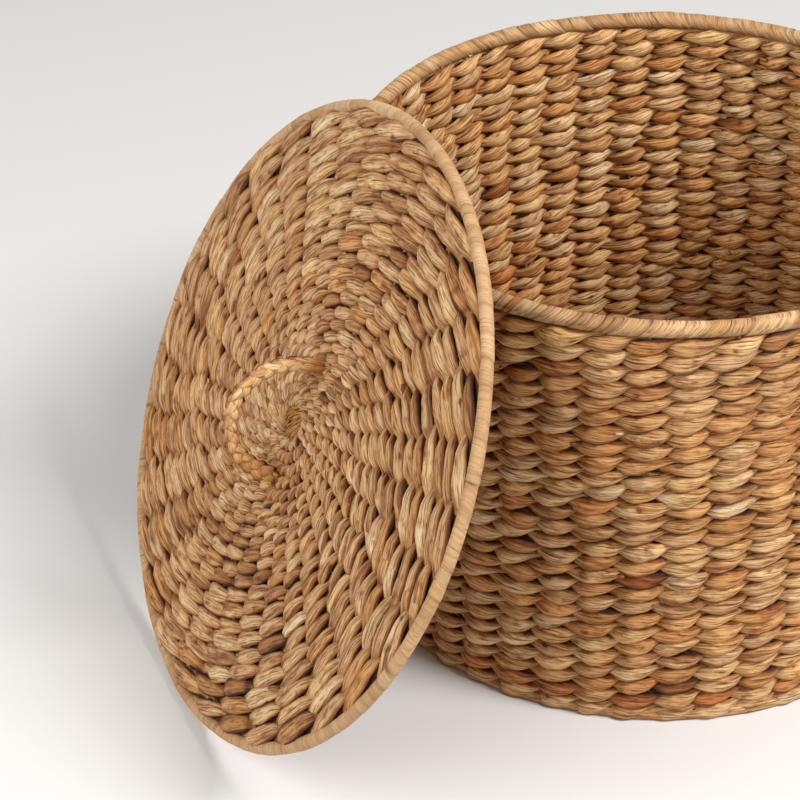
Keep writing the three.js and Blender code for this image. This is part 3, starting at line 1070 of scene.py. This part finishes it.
def tuft(height, crown):
    """Thin straws that cross the hole at the centre side by side, their ends tucked under the weave."""
    straws = []
    run = np.linspace(-1, 1, STRAW_POINTS)
    for _ in range(TUFT_STRAWS):
        aside = chance.uniform(-1, 1) * EYE_EDGE
        half = math.sqrt(EYE_EDGE ** 2 * STRAW_TUCK - aside ** 2) * chance.uniform(*STRAW_LENGTHS)
        turn = TUFT_TURN + chance.normal(0, STRAW_TURN_STRAY)
        lift = crown * (1 - run ** 2) * chance.uniform(*STRAW_RISES)
        points = np.stack([
            run * half * math.cos(turn) - aside * math.sin(turn),
            run * half * math.sin(turn) + aside * math.cos(turn),
            height + lift,
        ], 1)
        thick = chance.uniform(*STRAW_THICK)
        tone = chance.uniform(*STRAW_TONE_RANGE)
        straws.append(Strand(points, thick, tone=tone, warmth=chance.uniform(*STRAW_WARMTH_RANGE)))
    return straws


straws = tuft(TUFT_HEIGHT, LID_TUFT_CROWN)
piece = strand_piece("lid_tuft", straws, wide_section, straw_finish, closed=False, place=LID_PLACE)
settle(piece, "lid", "straw", "lid_centre_eye")
straws = tuft(BASE_MIDDLE + TUFT_HEIGHT, BASE_TUFT_CROWN)
piece = strand_piece("base_tuft", straws, wide_section, straw_finish, closed=False)
settle(piece, "basket", "straw", "base_centre_eye")


# Cut ends of strands that stand out between the stitches

WALL_ENDS_OUTSIDE = 70
WALL_ENDS_INSIDE = 60
LID_ENDS_EACH_SIDE = 26
# From the least to the most: a cut end's length, half of its thickness, its warmth, its height on the
# wall in courses and its distance from the lid's centre, squared, in lid radii
END_LENGTHS = (0.005, 0.010)
END_THICK = (0.0013, 0.0023)
END_WARMTHS = (0.1, 0.9)
END_HEIGHTS = (0.3, 0.7)
END_PLACES = (0.01, 0.85)
# Shape of a cut end: its thickness from root to tip, its height over its width, how it leaves the weave and
# bends back to it, how far from the weave's middle it begins, its lumps, and its tone with how it differs
END_PROFILE = np.array([1.0, 1.0, 1.05, 0.95, 0.8])
END_TALL = 0.8
END_LEAVES = 1.2
END_BENDS = 0.5
END_START = 0.001
END_LUMPS = 0.12
END_TONE = 0.38
END_TONE_STRAY = 0.15
# Directions of a cut end: up the wall and along it, and out of the lid, each in lengths of the end
END_UP_WALL = 0.3
END_ALONG_WALL = 0.6
END_OUT_OF_LID = 0.8


def cut_end(start, outward, along):
    """A short cut end that comes out of the weave and lies a little to one side."""
    length = chance.uniform(*END_LENGTHS)
    run = np.linspace(0, 1, len(END_PROFILE))[:, None]
    points = start + length * (outward * (END_LEAVES * run - END_BENDS * run ** 2) + along * run ** 2)
    swell = chance.uniform(*END_THICK) * END_PROFILE
    tone = np.clip(chance.normal(END_TONE, END_TONE_STRAY), 0, 1)
    return Strand(points, swell, END_TALL, tone=tone, warmth=chance.uniform(*END_WARMTHS), lumps=END_LUMPS)


def either_way_round(angle):
    """Direction round an upright axis at an angle, one way or the other."""
    return np.array([-math.sin(angle), math.cos(angle), 0]) * chance.choice([-1, 1])


def wall_cut_ends(count, side):
    """Cut ends on one face of the wall, between the stakes."""
    ends = []
    for _ in range(count):
        angle = FULL_TURN * (chance.integers(STAKES) + 0.5) / STAKES
        height = COURSE_PITCH * (chance.integers(1, COURSES - 1) + chance.uniform(*END_HEIGHTS))
        away = np.array([math.cos(angle), math.sin(angle), 0])
        along = either_way_round(angle)
        start = (RIM_RADIUS + side * END_START) * away + (0, 0, height)
        ends.append(cut_end(start, side * away + (0, 0, END_UP_WALL), along * END_ALONG_WALL))
    return ends


def lid_cut_ends(count, side):
    """Cut ends on one face of the lid."""
    ends = []
    for _ in range(count):
        angle = chance.uniform(0, FULL_TURN)
        reach = LID_RADIUS * math.sqrt(chance.uniform(*END_PLACES))
        along = either_way_round(angle)
        start = np.array([reach * math.cos(angle), reach * math.sin(angle), side * END_START])
        ends.append(cut_end(start, np.array([0, 0, side * END_OUT_OF_LID]), along))
    return ends


ends = wall_cut_ends(WALL_ENDS_OUTSIDE, 1) + wall_cut_ends(WALL_ENDS_INSIDE, -1)
piece = strand_piece("wall_cut_ends", ends, wide_section, weave_finish, closed=False)
settle(piece, "basket", "weave")
ends = lid_cut_ends(LID_ENDS_EACH_SIDE, 1) + lid_cut_ends(LID_ENDS_EACH_SIDE, -1)
piece = strand_piece("lid_cut_ends", ends, wide_section, weave_finish, closed=False, place=LID_PLACE)
settle(piece, "lid", "weave")


# Floor

# Half of the floor's side, its depth below the basket, its colour and roughness, and the distances from the
# basket between which it fades out
FLOOR_HALF = 6
FLOOR_DROP = 0.0005
FLOOR_COLOUR = "D8D6D4"
FLOOR_ROUGHNESS = 0.9
FLOOR_FULL = 1.3
FLOOR_GONE = 2.4


def fade_floor(nodes, links, shader):
    """Let the floor fade into the background, from one distance to another from the basket."""
    place = nodes.new("ShaderNodeTexCoord")
    reach = nodes.new("ShaderNodeVectorMath")
    reach.operation = "LENGTH"
    links.new(place.outputs["Object"], reach.inputs[0])
    fade = nodes.new("ShaderNodeMapRange")
    fade.interpolation_type = "SMOOTHSTEP"
    fade.inputs["From Min"].default_value = FLOOR_FULL
    fade.inputs["From Max"].default_value = FLOOR_GONE
    links.new(reach.outputs["Value"], fade.inputs["Value"])
    clear = nodes.new("ShaderNodeBsdfTransparent")
    choice = nodes.new("ShaderNodeMixShader")
    links.new(fade.outputs["Result"], choice.inputs["Fac"])
    links.new(shader.outputs["BSDF"], choice.inputs[1])
    links.new(clear.outputs["BSDF"], choice.inputs[2])
    links.new(choice.outputs["Shader"], nodes["Material Output"].inputs["Surface"])


def set_floor():
    """Pale floor under the basket."""
    shell = bmesh.new()
    bmesh.ops.create_grid(shell, x_segments=1, y_segments=1, size=FLOOR_HALF)
    mesh = bpy.data.meshes.new("studio_floor")
    shell.to_mesh(mesh)
    shell.free()
    material, nodes, links, shader = new_finish("pale_floor", FLOOR_ROUGHNESS)
    shader.inputs["Base Color"].default_value = tint(FLOOR_COLOUR)
    fade_floor(nodes, links, shader)
    mesh.materials.append(material)
    floor = bpy.data.objects.new("studio_floor", mesh)
    floor.location.z = -FLOOR_DROP
    bpy.context.scene.collection.objects.link(floor)


# Light

# Light from all round, and the pale background that is seen in its place
ROOM_LIGHT = (1.0, 0.985, 0.97, 1)
ROOM_STRENGTH = 0.36
BACKGROUND_COLOUR = "E6E3E0"
# Lamps: their places, sizes and powers, and the point on the basket's axis that they look at
KEY_PLACE = (2.0, -1.2, 2.9)
KEY_SIZE = 1.3
KEY_POWER = 138
FILL_PLACE = (-2.0, -1.4, 2.0)
FILL_SIZE = 2.2
FILL_POWER = 55
LAMP_TARGET = (0, 0, 0.2)


def soft_lamp(name, place, size, power):
    """Round soft lamp that looks at the basket."""
    data = bpy.data.lights.new(name, "AREA")
    data.shape = "DISK"
    data.size = size
    data.energy = power
    lamp = bpy.data.objects.new(name, data)
    lamp.location = place
    lamp.rotation_euler = (Vector(LAMP_TARGET) - Vector(place)).to_track_quat("-Z", "Y").to_euler()
    bpy.context.scene.collection.objects.link(lamp)


def show_pale(world):
    """Let the camera, and what shines, see a pale background without more light on the basket."""
    nodes = world.node_tree.nodes
    links = world.node_tree.links
    pale = nodes.new("ShaderNodeBackground")
    pale.inputs["Color"].default_value = tint(BACKGROUND_COLOUR)
    path = nodes.new("ShaderNodeLightPath")
    seen = path.outputs["Is Camera Ray"]
    for ray in ("Is Glossy Ray", "Is Transmission Ray"):
        either = nodes.new("ShaderNodeMath")
        either.operation = "MAXIMUM"
        links.new(seen, either.inputs[0])
        links.new(path.outputs[ray], either.inputs[1])
        seen = either.outputs["Value"]
    choice = nodes.new("ShaderNodeMixShader")
    links.new(seen, choice.inputs["Fac"])
    links.new(nodes["Background"].outputs["Background"], choice.inputs[1])
    links.new(pale.outputs["Background"], choice.inputs[2])
    links.new(choice.outputs["Shader"], nodes["World Output"].inputs["Surface"])


def set_light():
    """Two soft lamps in a dim pale room."""
    world = bpy.data.worlds.new("studio")
    world.use_nodes = True
    background = world.node_tree.nodes["Background"]
    background.inputs["Color"].default_value = ROOM_LIGHT
    background.inputs["Strength"].default_value = ROOM_STRENGTH
    show_pale(world)
    bpy.context.scene.world = world
    soft_lamp("key_lamp", KEY_PLACE, KEY_SIZE, KEY_POWER)
    soft_lamp("fill_lamp", FILL_PLACE, FILL_SIZE, FILL_POWER)
    bpy.context.scene.view_settings.view_transform = "Standard"


set_floor()
set_light()

for section in (tall_section, wide_section, round_section):
    bpy.data.objects.remove(section)
